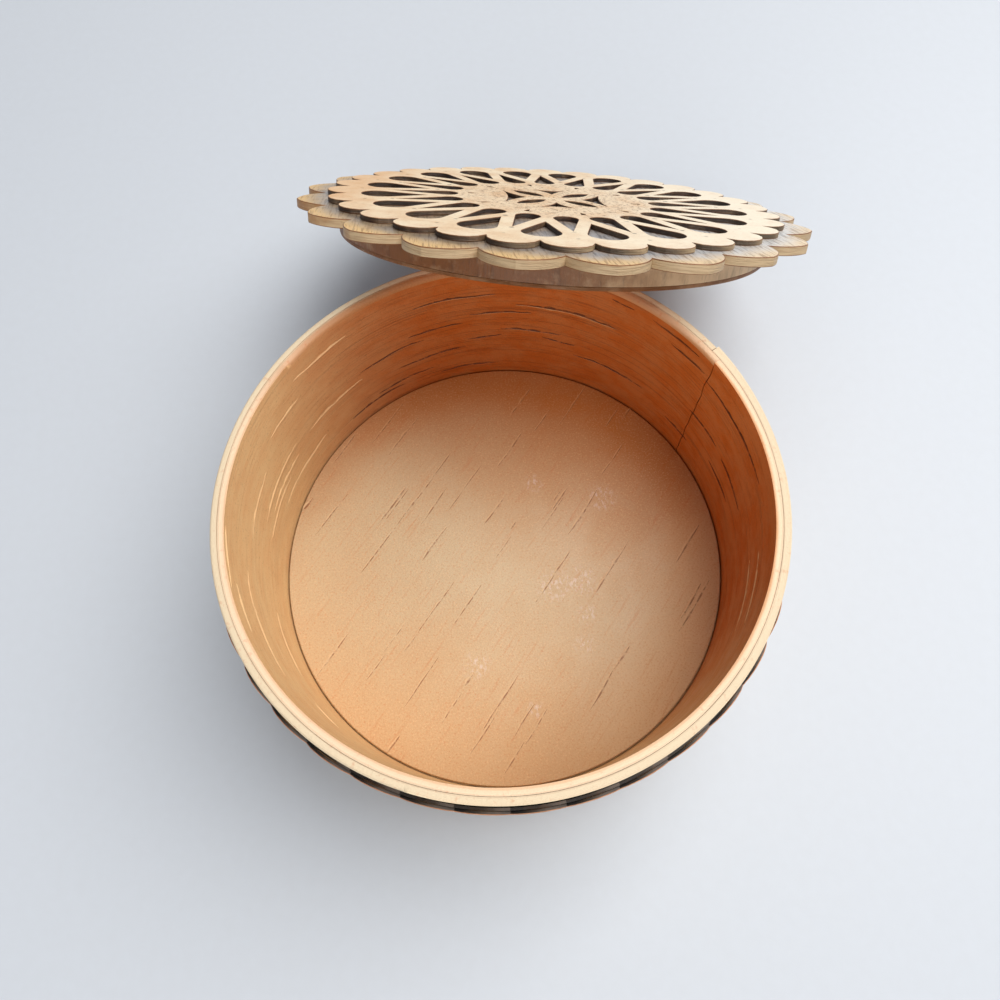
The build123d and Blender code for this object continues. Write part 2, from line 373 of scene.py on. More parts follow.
def lining_bark(name="lining_bark", mark=None, share=0.0):
    """Inner wall: golden and mottled, rustier at the back and right, partly the bark's tone and
    partly painted shade, with a painted light near the rim in front and drawn-out grain.

    A pore takes the same colours, shifted towards mark by share.
    """
    paint, c, spot = start_paint(name)
    x, y, z = paint.split(spot)
    drawn = paint.stretch(spot, 0.10, 0.10, 2.2)
    mottle = paint.noise(paint.stretch(spot, 1, 1, 1.6), 0.16, 4, 0.6).step(0.34, 0.68)
    streak = paint.noise(drawn, 1.0, 3, 0.55).step(0.44, 0.70)
    hair = paint.noise(paint.stretch(spot, 0.035, 0.035, 3.4), 1.0, 2).step(0.60, 0.66)
    # Painted shade with warm bounce light deepens the wall towards the back and right, over the
    # bark's deeper tone
    tone_and_painted_shade = tone_and_painted_shade_at(x, y)
    paint.tint = paint.mix(mottle * 0.12 + tone_and_painted_shade * 0.86, c.lining_light, c.lining_deep)
    paint.over(streak * 0.15, c.lining_deep)
    # Painted shade: darker still towards the back, where the lid shades the wall
    paint.over(y.step(8, 44) * tone_and_painted_shade * 0.27, c.pore)
    # Painted light: a golden pool near the rim in front
    painted_light = z.step(26, 46) * (x * -0.4 - y).step(0, 36)
    paint.over(painted_light * 0.10, c.gold)
    paint.over(hair * (tone_and_painted_shade * 0.25 + 0.08), c.pore)
    paint.over(paint.noise(spot, 2.5, 3).step(0.56, 0.72) * 0.22, c.pore)
    shift_pore(paint, spot, mark, share, 0.24, 0.50)
    relief = bark_relief(paint, spot, drawn) - hair * 0.3
    return paint.finish(0.5 + 0.16 * mottle, relief, 0.16, shine=0.3)


def rim_bark():
    """Sanded rim: pale edges of the two layers with the glue line between them."""
    paint, c, spot = start_paint("rim_bark")
    radius, _ = paint.polar(spot)
    wander = (paint.noise(spot, 0.12, 2) - 0.5) * 0.7
    line = LINING_RADIUS / MM
    outer = (radius + wander).step(line - 0.5, line + 0.3)
    paint.tint = paint.mix(outer, c.rim_inner, c.rim_outer)
    layers = paint.noise(paint.join((radius + wander) * 3.2, 0.0, 0.0), 1.0, 2)
    paint.over(layers.step(0.45, 0.62) * 0.20, c.wrap_deep)
    patchy = paint.noise(spot, 0.07, 2).step(0.40, 0.62) * 0.14 + 0.05
    seam = 1 - abs(radius + wander * 0.3 - line).step(0.06, 0.34)
    paint.over(seam * patchy, c.floor_pore)
    x, y, _ = paint.split(spot)
    tone_and_painted_shade = tone_and_painted_shade_at(x, y)
    inside = 1 - (radius + wander * 0.6).step(line - 1.35, line - 0.60)
    paint.over(inside * 0.38, c.gold)
    # Painted shade: the inner layer's edge darkens at the back under the lid, partly stain too,
    # and follows the painted shade towards the back and right
    back = (1 - outer) * y.step(16, 46)
    paint.over((inside * tone_and_painted_shade * 0.7).most(back * 0.85), c.floor_deep)
    paint.over(back * 0.25, c.pore)
    fleck = paint.noise(spot, 0.9, 3, 0.6).step(0.58, 0.75)
    paint.over(fleck * 0.30, c.lining_deep)
    relief = paint.noise(spot, 2.0, 4, 0.65) + layers * 0.4 - seam * 0.15
    return paint.finish(0.62, relief, 0.14)


def floor_bark(name="floor_bark", mark=None, share=0.0):
    """Floor disc: tan, speckled and softly mottled, with grain and a slight sheen, darker and
    warmer towards the back, the right and the wall as painted shade and paler at the front right
    as painted light.

    A pore takes the same colours, shifted towards mark by share.
    """
    paint, c, spot = start_paint(name)
    along_grain = paint.seen_from(spot, Rotation=(0, 0, FLOOR_GRAIN))
    drawn = paint.stretch(along_grain, 0.10, 1.5, 1.0)
    x, y, _ = paint.split(spot)
    mottle = paint.noise(spot, 0.08, 4, 0.6).step(0.36, 0.66)
    # Painted shade: the floor darkens beside the wall and towards the back and right, where the
    # walls and the lid shade it
    edge = (x * x + y * y).root().step(34, 46)
    deep = (x * 0.009 + y * 0.014 + edge * 0.28 + 0.13).step(0, 1)
    paint.tint = paint.mix(mottle * 0.10 + deep * 0.88, c.floor_light, c.floor_deep)
    paint.over((y * -1 - x * 0.2).step(4, 46) * 0.36, c.gold)
    # Painted light: paler at the front right, where the floor lies in full light
    paint.over((x * 0.04 - y * 0.02).step(1.1, 2.0) * 0.7, c.pore_ridge)
    streak = paint.noise(drawn, 1.0, 4, 0.6).step(0.54, 0.74)
    paint.over(streak * 0.26, c.lining_deep)
    speck = paint.noise(spot, 2.6, 3, 0.8)
    paint.over(speck.step(0.54, 0.66) * 0.50, c.pore_ridge)
    paint.over(speck.step(0.47, 0.34) * 0.40, c.lining_deep)
    scratch = paint.noise(paint.stretch(spot, 1.0, 0.5, 1.0), 1.3, 4, 0.75).step(0.50, 0.62)
    for place_x, place_y, reach in FLOOR_SCUFFS:
        away = ((x - place_x) ** 2 + (y - place_y) ** 2).root()
        paint.over((1 - away.step(0, reach)) * scratch * 0.55, c.scuff)
    shift_pore(paint, spot, mark, share, 0.30, 0.62)
    relief = paint.noise(drawn, 1.5, 4, 0.6) * 0.5 + speck * 0.5
    return paint.finish(0.46 + 0.16 * mottle, relief, 0.14, coat=0.06, shine=0.4)


def wrap_bark():
    """Outer bark: tan, with the dark dashes that birch bark has round the tree."""
    paint, c, spot = start_paint("wrap_bark")
    drawn = paint.stretch(spot, 0.10, 0.10, 1.6)
    mottle = paint.noise(spot, 0.10, 4, 0.6).step(0.36, 0.66)
    paint.tint = paint.mix(mottle, c.wrap_light, c.wrap_deep)
    dash = paint.noise(drawn, 1.0, 2, 0.5).step(0.63, 0.70)
    paint.over(dash * 0.8, c.pore)
    relief = bark_relief(paint, spot, drawn) - dash * 0.7
    return paint.finish(0.58, relief, 0.16)


def carved_face(name, plane=None):
    """Face of the carved bark: cream, faintly grained and dented where ribs meet."""
    paint, c, spot = start_paint(name, plane)
    drawn = paint.stretch(spot, 0.10, 1.1, 1.0)
    mottle = paint.noise(spot, 0.13, 5, 0.65).step(0.38, 0.66)
    paint.tint = paint.mix(mottle * 0.85, c.face_light, c.face_deep)
    streak = paint.noise(drawn, 1.0, 3, 0.6).step(0.54, 0.74)
    paint.over(streak * 0.30, c.wrap_deep)
    fleck = paint.noise(spot, 0.9, 3, 0.6).step(0.62, 0.72)
    paint.over(fleck * 0.35, c.wrap_deep)
    relief = paint.noise(spot, 2.6, 4, 0.65) * 0.7 + paint.noise(drawn, 1.2, 3) * 0.5
    if plane:
        radius, turn = paint.polar(spot)
        x, _, _ = paint.split(spot)
        paint.over(x.step(10, -45) * 0.7, c.face_pale)
        paint.over(x.step(26, 48) * 0.45, c.gold)
        middle = 1 - radius.step(16, 28)
        paint.over(middle * 0.55 * mottle.most(0.5), c.rosette_middle)
        pits = paint.noise(spot, 1.5, 3, 0.7).step(0.54, 0.62)
        paint.over(pits * (middle * 0.55 + 0.10), c.dark_bark)
        soot = paint.noise(spot, 0.30, 4, 0.65).step(0.50, 0.70) * radius.step(43, 48)
        paint.over(soot * 0.16, c.lining_deep)
        dents = ring_of_dots(radius, turn, 26.3, 0, 18, 0.55)
        dents = dents.most(ring_of_dots(radius, turn, 36.6, 9, 18, 0.45))
        dents = dents.most(ring_of_dots(radius, turn, 42.2, 9, 18, 0.40) * 0.7)
        dents = dents * paint.noise(spot, 0.16, 2).step(0.42, 0.56)
        paint.over(dents * 0.55, c.burnt)
        relief = relief - dents * 2.0 - pits * middle * 0.8
    return paint.finish(0.60, relief, 0.12)


def ring_of_dots(radius, turn, ring, first, every, size):
    """Mask of round dots on a ring, one at the angle first and more at equal steps."""
    steps = (turn - first) / every
    off = (steps - steps.math("ROUND", steps)) * math.radians(every) * ring
    away = ((radius - ring) ** 2 + off * off).root()
    return 1 - away.step(size * 0.5, size * 1.3)


def plate_face(plane):
    """Plate: cream lobe tips that darken to a stained, glossier ring with carving strokes, the
    ring greyer and bluer on the lid's right as a painted sheen.
    """
    paint, c, spot = start_paint("plate_face", plane)
    radius, _ = paint.polar(spot)
    along_grain = paint.seen_from(spot, Rotation=(0, 0, PLATE_GRAIN))
    strokes = paint.noise(paint.stretch(along_grain, 0.16, 1.9, 1.0), 1.0, 4, 0.7)
    smudge = paint.noise(spot, 0.25, 3)
    edge = (radius + (strokes - 0.5) * 5.0 + (smudge - 0.5) * 3.0).step(48.6, 55.0)
    x, _, _ = paint.split(spot)
    # Painted sheen: the stain turns greyer and bluer towards the lid's right, standing in for
    # reflected light
    stain = paint.mix(x.step(20, -50), c.plate_soot, c.plate_sheen_grey)
    paint.tint = paint.mix(edge, stain, c.plate_light)
    paint.over(x.step(0, -50) * 0.5, c.face_pale)
    paint.over(smudge.step(0.45, 0.60) * 0.25, c.worn_and_lit_bark)
    paint.over(strokes.step(0.48, 0.62) * (1.1 - edge) * 0.60, c.burnt)
    paint.over(strokes.step(0.50, 0.62) * edge * 0.55, c.dark_bark)
    relief = strokes * 0.8 + paint.noise(spot, 2.5, 3) * 0.4
    return paint.finish(0.30 + 0.26 * edge, relief, 0.16, coat=0.25)


def cut_edge(name, tint_name, plane=None, other_name=None, reach=(0, -30), inner=0, lobes=None):
    """Cut edge of bark, its thin layers drawn along it.

    Past the radius inner it turns to another tint across the lid, from x = reach[0] to reach[1].
    With lobes, their number and where one points, it is darker at the start of each, a painted
    shade on the cut sides that face away from the light.
    """
    paint, c, spot = start_paint(name, plane)
    layer = paint.noise(paint.stretch(spot, 0.15, 0.15, 4.0), 1.0, 3, 0.6).step(0.4, 0.65)
    blot = paint.noise(spot, 0.22, 3, 0.6).step(0.40, 0.70)
    paint.tint = getattr(c, tint_name)
    if other_name:
        x, _, _ = paint.split(spot)
        radius, _ = paint.polar(spot)
        side = (x + (blot - 0.5) * 16).step(*reach) * radius.step(inner, inner + 2)
        paint.over(side, getattr(c, other_name))
    paint.over(layer * 0.30, c.dark_bark)
    paint.over(blot * 0.20, c.worn_and_lit_bark)
    # Painted shade: each lobe's start, whose cut side faces away from the light, is darkened
    if lobes:
        steps = paint.lobes_round(spot, *lobes)
        start = (steps.math("ROUND", steps) - steps).step(-0.42, 0.34)
        paint.over(start * 0.85, c.burnt)
    return paint.finish(0.55, layer, 0.08)


def hoop_bark(plane):
    """Strip round the plug: dark and mottled, paler along one side, a painted light on the side
    that faces the light.
    """
    paint, c, spot = start_paint("hoop_bark", plane)
    radius, turn = paint.polar(spot)
    _, _, z = paint.split(spot)
    streak = paint.noise(paint.join(turn * 0.7, z * 0.22, radius * 0.1), 1.0, 4, 0.65)
    blot = paint.noise(spot, 0.30, 4, 0.6)
    # This mask is painted light: the side of the hoop that faces the light is painted paler
    worn = (turn - (blot - 0.5) * 50).step(92, 128)
    paint.tint = paint.mix(worn, c.dark_bark, c.worn_and_lit_bark)
    paint.over(streak.step(0.46, 0.70) * 0.30, c.burnt)
    paint.over(blot.step(0.48, 0.66) * 0.22, c.worn_and_lit_bark)
    return paint.finish(0.52, streak + blot * 0.4, 0.14)


def burnt_bark_and_painted_sheen(name):
    """Burnt bark of the band: black beside each cusp, where painted shade deepens the burnt black,
    and greyer towards the next as a painted sheen.
    """
    paint, c, spot = start_paint(name)
    steps = paint.lobes_round(spot, band().lobes, band().phase)
    share = steps - steps.math("FLOOR", steps)
    grit = paint.noise(spot, 0.8, 3, 0.6)
    # Painted shade and sheen: black on the side of each lobe turned from the light, greying
    # towards the side that reflects it
    paint.tint = paint.mix((share + grit * 0.3).step(0.30, 1.15) * 0.15, c.soot, c.worn_and_lit_bark)
    paint.over((share + grit * 0.3).step(0.50, 1.15) * 0.09, c.plate_sheen_grey)
    paint.over(grit.step(0.52, 0.70) * 0.15, c.dark_bark)
    return paint.finish(0.6, grit, 0.1)


def board_wood():
    """Planed board: straight pale grain."""
    paint, c, spot = start_paint("board_wood")
    grain = paint.noise(paint.stretch(spot, 0.06, 1.1, 0.4), 1.0, 4, 0.6)
    paint.tint = paint.mix(grain.step(0.4, 0.7) * 0.6, c.board, c.wrap_deep)
    return paint.finish(0.6, grain, 0.08)


# ---- Shapes ----
# Steps round the wall's strips, the strip behind the band, and the plug's strip and the discs
WALL_STEPS, BACKING_STEPS, DISC_STEPS = 256, 288, 192


def lid_plane():
    """The middle of the plate's upper face, with X level and Y up the slope."""
    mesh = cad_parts["plug_core"].data
    flat = max((face for face in mesh.polygons if face.normal.z > 0), key=lambda face: face.area)
    normal = flat.normal.normalized()
    corners = {tuple(round(c, 6) for c in vertex.co) for vertex in mesh.vertices}
    middle = sum((Vector(corner) for corner in corners), Vector()) / len(corners)
    origin = middle + normal * (lid().plug_height / 2 + lid().plate_thickness)
    level = Vector((-normal.y, normal.x, 0)).normalized()
    if level.x > 0:
        level = -level
    upward = normal.cross(level)
    turn = Matrix((level, upward, normal)).transposed()
    return Matrix.Translation(origin) @ turn.to_4x4()


def mesh_from(shape, name, plane=None, sharp=40, recalculate=True):
    """Mesh of a finished shape, laid in a plane, smooth but with edges sharp past an angle."""
    if plane:
        bmesh.ops.transform(shape, matrix=plane, verts=shape.verts)
    bmesh.ops.remove_doubles(shape, verts=shape.verts, dist=WELD)
    if recalculate:
        bmesh.ops.recalc_face_normals(shape, faces=shape.faces)
    mesh = bpy.data.meshes.new(name)
    shape.to_mesh(mesh)
    shape.free()
    mesh.shade_smooth()
    mesh.set_sharp_from_angle(angle=math.radians(sharp))
    return mesh


def linked(name, data):
    """A new object in the scene."""
    thing = bpy.data.objects.new(name, data)
    bpy.context.scene.collection.objects.link(thing)
    return thing


def finish_piece(name, shape, body, slot, materials, stands_for=(), **meshing):
    """Makes a piece of a finished shape, paints it and lets it ride on a CAD body."""
    mesh = mesh_from(shape, name, **meshing)
    for material in materials:
        mesh.materials.append(material)
    piece = linked(name, mesh)
    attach(piece, body)
    if stands_for:
        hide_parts(*stands_for)


def paint_node(name, material):
    """Gives a material to a CAD node that is shown as it is."""
    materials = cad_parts[name].data.materials
    materials.clear()
    materials.append(material)


def face_towards(shape, direction):
    """Turns the faces of open strips to the side that direction gives for a point."""
    shape.normal_update()
    for face in shape.faces:
        if face.normal.dot(direction(face.calc_center_median())) < 0:
            face.normal_flip()


def round_edges(shape, edges, rounding, segments):
    bmesh.ops.bevel(
        shape, geom=edges, offset=rounding, offset_type="OFFSET", segments=segments,
        profile=0.5, affect="EDGES", material=-1,
    )


def bent_strip(inner, outer, low, high, start, sweep, steps, round_in=0.0, round_out=0.0):
    """Strip of bark bent round Z from the angle start, its upper edges rounded."""
    shape = bmesh.new()
    corners = [
        shape.verts.new((radius * math.cos(start), radius * math.sin(start), z))
        for radius, z in ((inner, low), (outer, low), (outer, high), (inner, high))
    ]
    edges = [shape.edges.new((corners[k - 1], corners[k])) for k in range(4)]
    bmesh.ops.spin(
        shape, geom=corners + edges, cent=(0, 0, 0), axis=(0, 0, 1), angle=sweep, steps=steps,
        use_merge=sweep == math.tau,
    )
    bmesh.ops.holes_fill(shape, edges=[e for e in shape.edges if e.is_boundary], sides=4)
    bmesh.ops.recalc_face_normals(shape, faces=shape.faces)
    for radius, rounding in ((inner, round_in), (outer, round_out)):
        rims = [
            edge for edge in shape.edges
            if all(abs(v.co.z - high) < SAME for v in edge.verts)
            and all(abs(v.co.xy.length - radius) < SAME for v in edge.verts)
        ]
        if rounding:
            round_edges(shape, rims, rounding, 4)
    return shape


def disc(radius, low, high, rounding):
    """Round sheet with rounded upper and lower edges."""
    shape = bmesh.new()
    bmesh.ops.create_circle(shape, cap_ends=True, radius=radius, segments=DISC_STEPS)
    bmesh.ops.translate(shape, verts=shape.verts, vec=(0, 0, low))
    top = bmesh.ops.extrude_face_region(shape, geom=shape.faces[:])
    raised = [item for item in top["geom"] if isinstance(item, bmesh.types.BMVert)]
    bmesh.ops.translate(shape, verts=raised, vec=(0, 0, high - low))
    bmesh.ops.recalc_face_normals(shape, faces=shape.faces)
    rims = [edge for edge in shape.edges if abs(edge.verts[0].co.z - edge.verts[1].co.z) < SAME]
    round_edges(shape, rims, rounding, 3)
    return shape


def arc_handles(start, end, turn):
    """Bezier handles of an arc from start to end that turns left by an angle."""
    chord = end - start
    if abs(turn) < 1e-6:
        return start + chord / 3, end - chord / 3
    reach = 4 / 3 * math.tan(turn / 4) * chord.length / (2 * math.sin(turn / 2))
    along = chord.normalized() * reach
    leave, arrive = Matrix.Rotation(-turn / 2, 2), Matrix.Rotation(turn / 2, 2)
    return start + leave @ along, end - arrive @ along


def turned(outline, by):
    """Outline, a list of points and the turn of the arc after each, turned about the middle."""
    spin = Matrix.Rotation(by, 2)
    return [(spin @ Vector(point), turn) for point, turn in outline]


def at(radius, by):
    return Vector((radius * math.cos(by), radius * math.sin(by)))


def teardrop(apex, end, round_radius):
    """Outline along X with a point at apex and a round end."""
    outward = 1 if end > apex else -1
    centre = end - outward * round_radius
    lean = math.asin(round_radius / abs(centre - apex))
    touch_x = centre - outward * round_radius * math.sin(lean)
    touch_y = round_radius * math.cos(lean)
    bend = -outward * (math.pi / 2 + lean)
    return [
        ((apex, 0), 0),
        ((touch_x, touch_y), bend),
        ((end, 0), bend),
        ((touch_x, -touch_y), 0),
    ]


def almond(root, tip, width):
    """Outline of a leaf along X."""
    bend = -4 * math.atan(width / (tip - root))
    return [((root, 0), bend), ((tip, 0), bend)]


def petal_wedge(root, reach, half_angle, dip, bow):
    """Outline with points at root and, to both sides, at reach, its sides bowed in."""
    side = at(reach, half_angle)
    run = (side - Vector((root, 0))).length
    bend = 4 * math.atan(2 * bow / run)
    back = 4 * math.atan((side.x - dip) / side.y)
    return [((root, 0), bend), (side, back), ((side.x, -side.y), bend)]


def lobed_edge(cusp, tip, lobes, phase, curve=None):
    """Outline with round lobes, or slightly pointed ones made of two arcs of radius curve."""
    half = math.pi / lobes
    points = []
    for k in range(lobes):
        way = phase + 2 * half * k
        if curve:
            chord = (at(tip, 0) - at(cusp, half)).length
            bend = 2 * math.asin(chord / (2 * curve))
            points += [(at(cusp, way - half), bend), (at(tip, way), bend)]
        else:
            rise = tip - cusp * math.cos(half)
            points.append((at(cusp, way - half), 4 * math.atan(rise / (cusp * math.sin(half)))))
    return points


def sheet_with_openings(name, outlines, low, high, rounding, resolution=8):
    """Shape of a flat sheet between two heights: the first outline is its edge."""
    curve = bpy.data.curves.new(name, "CURVE")
    curve.dimensions = "2D"
    curve.fill_mode = "BOTH"
    curve.extrude = (high - low) / 2 - rounding
    curve.bevel_depth = rounding
    curve.bevel_resolution = 1
    curve.offset = -rounding
    curve.resolution_u = resolution
    for outline in outlines:
        spline = curve.splines.new("BEZIER")
        spline.use_cyclic_u = True
        spline.bezier_points.add(len(outline) - 1)
        for k, (point, turn) in enumerate(outline):
            here, there = spline.bezier_points[k], spline.bezier_points[(k + 1) % len(outline)]
            start, end = Vector(point), Vector(outline[(k + 1) % len(outline)][0])
            leave, arrive = arc_handles(start, end, turn)
            here.co = (*start, 0)
            here.handle_right_type = there.handle_left_type = "FREE"
            here.handle_right = (*leave, 0)
            there.handle_left = (*arrive, 0)
    drawing = linked(name, curve)
    bpy.context.view_layer.update()
    drawn = drawing.evaluated_get(bpy.context.evaluated_depsgraph_get())
    flat = bpy.data.meshes.new_from_object(drawn)
    shape = bmesh.new()
    shape.from_mesh(flat)
    bpy.data.objects.remove(drawing)
    bpy.data.curves.remove(curve)
    bpy.data.meshes.remove(flat)
    bmesh.ops.remove_doubles(shape, verts=shape.verts, dist=SAME)
    bmesh.ops.translate(shape, verts=shape.verts, vec=(0, 0, (low + high) / 2))
    bmesh.ops.recalc_face_normals(shape, faces=shape.faces)
    return shape


def slice_across(shape, axis, places, faces=None):
    """Cuts the faces along planes across an axis, halving them again and again."""
    if not places:
        return
    k = len(places) // 2
    faces = shape.faces[:] if faces is None else faces
    parts = {part for face in faces for part in (face, *face.edges, *face.verts)}
    middle = axis * places[k]
    cut = bmesh.ops.bisect_plane(shape, geom=list(parts), plane_co=middle, plane_no=axis)
    near, far = [], []
    for part in cut["geom"]:
        if isinstance(part, bmesh.types.BMFace):
            side = part.calc_center_median().dot(axis) < places[k]
            (near if side else far).append(part)
    slice_across(shape, axis, places[:k], near)
    slice_across(shape, axis, places[k + 1:], far)


def straight_up(point):
    return Vector((0, 0, 1))


def mark_cut_edges(shape, outward=straight_up, flat=0.95, cut=0.2):
    """Flat faces keep material 0, cut sides get 1 and the rounding between them 2."""
    shape.normal_update()
    for face in shape.faces:
        lean = abs(face.normal.dot(outward(face.calc_center_median())))
        face.material_index = 0 if lean > flat else 2 if lean > cut else 1


# A pore's profile, as shares of its width across and of its height above, from the dark crack,
# partly a painted shadow, to the pale side's foot, the pale side partly a painted light; the
# length of a step along it and of its slow and quick waves; the power by which it tapers out; its
# mean size and how much the quick waves change it; and how much they move it sideways beside the
# slow ones
PORE_PROFILE = ((-0.34, 0.03), (-0.14, 0.12), (0.04, 1.0), (0.5, 0.0))
PORE_STEP = 0.8 * MM
PORE_WAVES = 9 * MM, 1.8 * MM
PORE_TAPER = 0.4
PORE_SIZE, PORE_CHANGE = 0.9, 0.7
PORE_TREMBLE = 0.35


def add_pore(shape, place, reach, width, height, wander):
    """Adds a ridge that tapers out at its ends, with a dark crack along one side that is partly a
    painted shadow and a pale side that is partly a painted light.

    place gives a point from the share of the way along, the distance across and above.
    """
    steps = max(8, int(reach / PORE_STEP))
    strips = len(PORE_PROFILE) - 1
    grid = bmesh.ops.create_grid(shape, x_segments=steps, y_segments=strips, size=0.5)
    faces = {face for vertex in grid["verts"] for face in vertex.link_faces}
    seed = random.uniform(0, 100)
    for face in faces:
        pale_side = face.calc_center_median().y > 0.5 - 1 / strips
        face.material_index = 1 if pale_side else 0
    for vertex in grid["verts"]:
        along = vertex.co.x + 0.5
        across, above = PORE_PROFILE[round((vertex.co.y + 0.5) * strips)]
        full = math.sin(math.pi * min(max(along, 0.01), 0.99)) ** PORE_TAPER
        slow, quick = (
            noise.noise(Vector((seed, along * reach / wave, row)))
            for wave, row in zip(PORE_WAVES, (0, 5))
        )
        full *= PORE_SIZE + PORE_CHANGE * quick
        drift = wander * (slow + PORE_TREMBLE * quick)
        vertex.co = place(along, across * width * full + drift, above * full * height)


# ---- Operators, one for each piece or group of like pieces ----
LAP_SLIT = 0.002  # Angle of the slit under the lap
# The seam: the slices in its height, the angle that its edges wander through, the angle within
# which points move with them, the waves in a metre, and the depth at the top where it closes and
# by what share
SEAM_SLICES = 32
SEAM_WANDER = 0.010
SEAM_REACH = 0.01
SEAM_WAVES = 220
SEAM_CLOSED = 1.3 * MM
SEAM_CLOSING = 0.9
# Height of the rim's tint, as a share of its inner rounding
RIM_TINT = 1.05


class BARKBOX_OT_wall(bpy.types.Operator):
    """Bends the inner strip and the outer sheet of the wall"""

    bl_idname = "bark_box.wall"
    bl_label = "Wall"

    def execute(self, context):
        s = sizes()
        rim = rim_bark()
        bore = LINING_RADIUS - s.lining_thickness
        slit = s.seam_gap / bore
        lining = bent_strip(
            bore, LINING_RADIUS, 0, BOX_HEIGHT, s.seam_angle + slit / 2,
            math.tau - slit, WALL_STEPS, s.bore_round,
        )
        self.paint_rim(lining)
        self.ragged_seam(lining, s.seam_angle)
        finish_piece(
            "lining_strip", lining, "box", "lining_bark", [lining_bark(), rim], ["wall_lining"]
        )
        wrap = bent_strip(
            WALL_RADIUS - s.wrap_thickness, WALL_RADIUS, 0, BOX_HEIGHT,
            s.lap_angle + LAP_SLIT / 2, math.tau - LAP_SLIT, WALL_STEPS, 0, s.rim_round,
        )
        for vertex in wrap.verts:
            radius = vertex.co.xy.length
            way = math.atan2(vertex.co.y, vertex.co.x) - s.lap_angle + s.lap_sweep
            share = way / s.lap_sweep
            if 0 < share < 1.0001 and radius > WALL_RADIUS - s.wrap_thickness / 2:
                vertex.co.xy *= 1 + s.lap_step * share / radius
        self.paint_rim(wrap)
        finish_piece(
            "wrap_sheet", wrap, "box", "pale_bark", [wrap_bark(), rim], ["wall_wrap"]
        )
        return {"FINISHED"}

    def ragged_seam(self, shape, way):
        """Lets the two edges of the seam wander a little, both alike."""
        cuts = [BOX_HEIGHT * k / SEAM_SLICES for k in range(1, SEAM_SLICES)]
        slice_across(shape, Vector((0, 0, 1)), cuts)
        for vertex in shape.verts:
            off = math.atan2(vertex.co.y, vertex.co.x) - way
            if abs(off) < SEAM_REACH:
                shift = noise.noise(Vector((0, 7, vertex.co.z * SEAM_WAVES))) * SEAM_WANDER
                if vertex.co.z > BOX_HEIGHT - SEAM_CLOSED:
                    shift -= SEAM_CLOSING * off
                vertex.co = Matrix.Rotation(shift, 3, "Z") @ vertex.co

    def paint_rim(self, shape):
        low = BOX_HEIGHT - sizes().bore_round * RIM_TINT
        for face in shape.faces:
            face.material_index = 1 if min(v.co.z for v in face.verts) > low else 0


# Scuffs on the floor in mm: x, y and radius
FLOOR_SCUFFS = (
    (10.5, -7.5, 5.5), (16.5, -6.8, 5.0), (17.0, -14.5, 3.2), (15.5, -20.8, 3.0),
    (4.0, -33.0, 2.6), (-7.5, -23.0, 4.0), (23.5, 12.0, 5.0), (8.5, 17.0, 3.0),
)
# Pores of the floor: x and y of the nearer end and the length in mm, and the weight
FLOOR_PORES = (
    (-27.4, 10.6, 11.3, 0.9), (-26.2, 10.9, 9.5, 0.5), (-31.5, -0.5, 13.0, 0.7),
    (-23.2, 9.8, 14.0, 0.8), (-14.9, 20.2, 7.5, 0.6), (-17.9, 9.6, 10.4, 0.6),
    (-17.9, 0.9, 9.4, 1.0), (-3.6, 7.9, 8.8, 0.8), (0.5, 21.8, 10.3, 1.0),
    (4.8, 34.9, 8.7, 1.1), (-24.5, 27.4, 11.6, 0.8), (-28.4, 30.9, 12.6, 0.6),
    (-37.4, 27.1, 8.8, 0.8), (-41.7, 9.2, 11.6, 0.8), (-11.5, 12.1, 14.0, 0.4),
    (11.3, 9.3, 7.5, 0.7), (12.6, 12.2, 4.0, 0.6), (14.9, 4.0, 12.6, 0.9),
    (9.1, 5.6, 9.3, 0.5), (6.2, -10.8, 7.4, 0.8), (10.8, -5.0, 6.6, 0.6),
    (18.4, -10.9, 15.6, 0.8), (-11.8, -14.0, 10.6, 0.9), (-22.7, -18.8, 4.0, 0.7),
    (-20.0, -15.6, 14.5, 0.5), (-41.2, -22.2, 10.8, 0.8), (-30.9, -24.0, 6.6, 0.5),
    (-26.9, -18.6, 6.6, 0.8), (-23.1, -30.2, 12.4, 0.4), (-15.6, -34.1, 7.2, 0.7),
    (-10.3, -27.0, 2.8, 0.9), (-10.2, -40.7, 10.2, 0.6), (-4.6, -32.6, 8.8, 0.9),
    (-7.4, -36.4, 8.4, 0.6), (-0.9, -37.9, 7.6, 0.5), (1.2, -39.6, 8.2, 0.9),
    (-3.7, -45.0, 7.4, 0.6), (14.9, -34.0, 9.4, 1.0), (20.9, -26.6, 6.2, 1.0),
    (35.7, -19.8, 13.4, 1.2), (36.6, -17.0, 9.0, 1.2), (37.6, -4.8, 10.6, 1.1),
    (16.1, 31.5, 11.2, 0.7), (10.1, 30.3, 6.6, 0.6), (24.1, 17.3, 9.6, 0.6),
    (26.9, 29.9, 5.2, 0.7), (30.4, 30.3, 4.8, 0.7), (-44.6, 15.6, 3.4, 1.4),
    (2.3, 6.5, 1.9, 1.0), (-26.8, -38.8, 4.0, 0.7), (-1.6, 0.0, 6.0, 0.25),
)


# Rounding of the floor's edge, and its pores: how far above it they start, how high they stand,
# how far they wander and their width at weight 0 and for each 1 of weight
FLOOR_ROUND = 0.25 * MM
FLOOR_PORE_LIFT = 0.008 * MM
FLOOR_PORE_HEIGHT = 0.3 * MM
FLOOR_PORE_WANDER = 0.04 * MM
FLOOR_PORE_WIDTH = 0.36, 0.55


